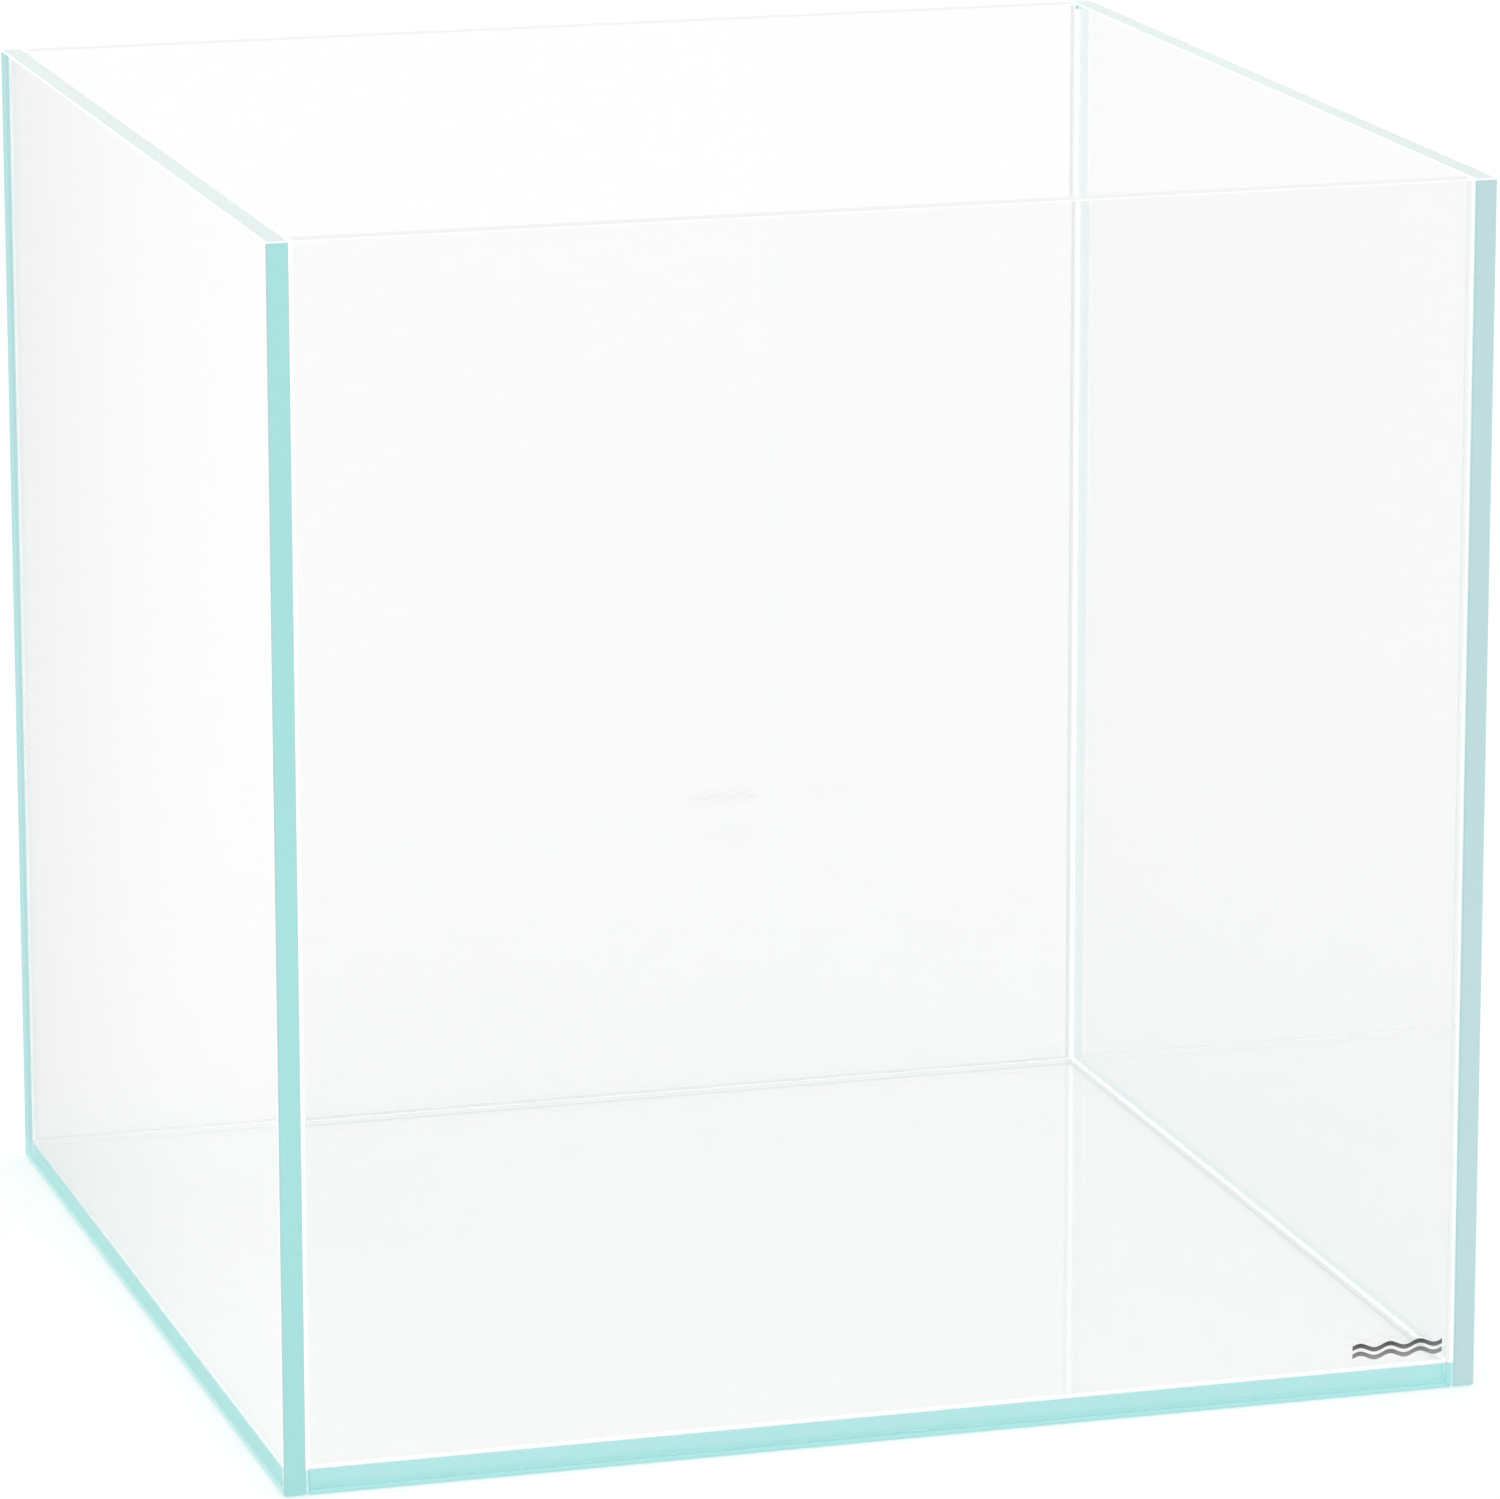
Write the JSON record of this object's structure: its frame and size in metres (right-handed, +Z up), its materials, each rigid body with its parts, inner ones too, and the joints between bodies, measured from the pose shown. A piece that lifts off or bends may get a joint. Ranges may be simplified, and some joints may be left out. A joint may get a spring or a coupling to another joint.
{
  "type": "aquarium tank",
  "caption": "Rimless open-top cube aquarium tank of clear low-iron glass panes bonded with clear silicone, with polished teal-tinted edges.",
  "frame": {"origin": "centre of the footprint, on the surface that the tank stands on", "axes": "+Z up, the front pane with the small mark faces -Y, +X to the right as seen from the front"},
  "size_m": [0.45, 0.4504, 0.45],
  "materials": {
    "low_iron_glass": "clear polished low-iron float glass, pale teal at its edges",
    "clear_silicone": "clear cured silicone sealant with a smooth satin surface",
    "grey_ink": "dark grey printed ink with a slight metallic fade"
  },
  "bodies": {
    "root": {"base_pane": "low_iron_glass", "left_pane": "low_iron_glass", "right_pane": "low_iron_glass", "front_pane": "low_iron_glass", "back_pane": "low_iron_glass", "base_bond_left": "clear_silicone", "base_bond_right": "clear_silicone", "base_bond_front": "clear_silicone", "base_bond_back": "clear_silicone", "corner_bond_front_left": "clear_silicone", "corner_bond_front_right": "clear_silicone", "corner_bond_back_left": "clear_silicone", "corner_bond_back_right": "clear_silicone", "floor_bead_left": "clear_silicone", "floor_bead_right": "clear_silicone", "floor_bead_front": "clear_silicone", "floor_bead_back": "clear_silicone", "corner_bead_front_left": "clear_silicone", "corner_bead_front_right": "clear_silicone", "corner_bead_back_left": "clear_silicone", "corner_bead_back_right": "clear_silicone", "mark_wave_lower": "grey_ink", "mark_wave_upper": "grey_ink"}
  },
  "joints": []
}
